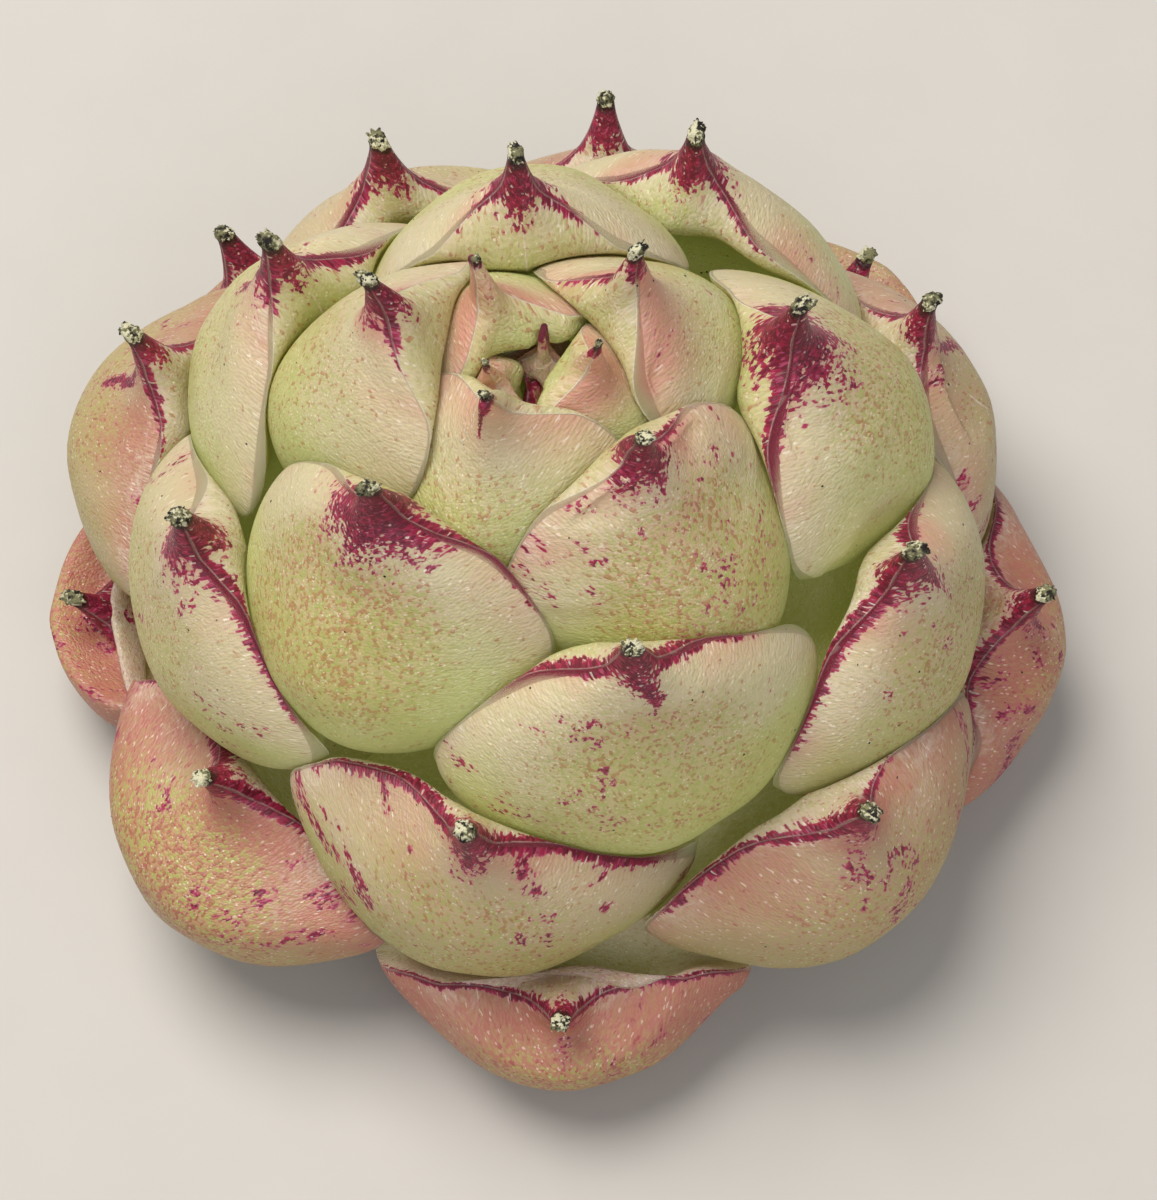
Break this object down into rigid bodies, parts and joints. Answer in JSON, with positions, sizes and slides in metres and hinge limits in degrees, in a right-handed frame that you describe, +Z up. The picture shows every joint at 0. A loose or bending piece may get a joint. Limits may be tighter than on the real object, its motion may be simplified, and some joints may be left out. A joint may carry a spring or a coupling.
{
  "type": "echeveria rosette",
  "caption": "Succulent rosette taken from its plant: thick pointed leaves in one spiral round a short stem stump, standing on a surface.",
  "frame": {"origin": "middle of the stem's flat cut, at the level of the surface that the rosette stands on", "axes": "+Z up along the stem to the growing tip; -Y towards the side seen in the picture; +X to its right"},
  "size_m": [0.045, 0.0449, 0.0296],
  "materials": {
    "inner_leaf": "satin",
    "middle_leaf": "satin",
    "outer_leaf": "satin",
    "stem": "matte"
  },
  "bodies": {
    "root": {"leaf_01": "inner_leaf", "leaf_02": "inner_leaf", "leaf_03": "inner_leaf", "leaf_04": "inner_leaf", "leaf_05": "inner_leaf", "leaf_06": "inner_leaf", "leaf_07": "inner_leaf", "leaf_08": "inner_leaf", "leaf_09": "middle_leaf", "leaf_10": "middle_leaf", "leaf_11": "middle_leaf", "leaf_12": "middle_leaf", "leaf_13": "middle_leaf", "leaf_14": "middle_leaf", "leaf_15": "middle_leaf", "leaf_16": "middle_leaf", "leaf_17": "middle_leaf", "leaf_18": "middle_leaf", "leaf_19": "middle_leaf", "leaf_20": "outer_leaf", "leaf_21": "outer_leaf", "leaf_22": "outer_leaf", "leaf_23": "outer_leaf", "leaf_24": "outer_leaf", "leaf_25": "outer_leaf", "leaf_26": "outer_leaf", "leaf_27": "outer_leaf", "leaf_28": "outer_leaf", "leaf_29": "outer_leaf", "leaf_30": "outer_leaf", "stem": "stem"}
  },
  "joints": []
}
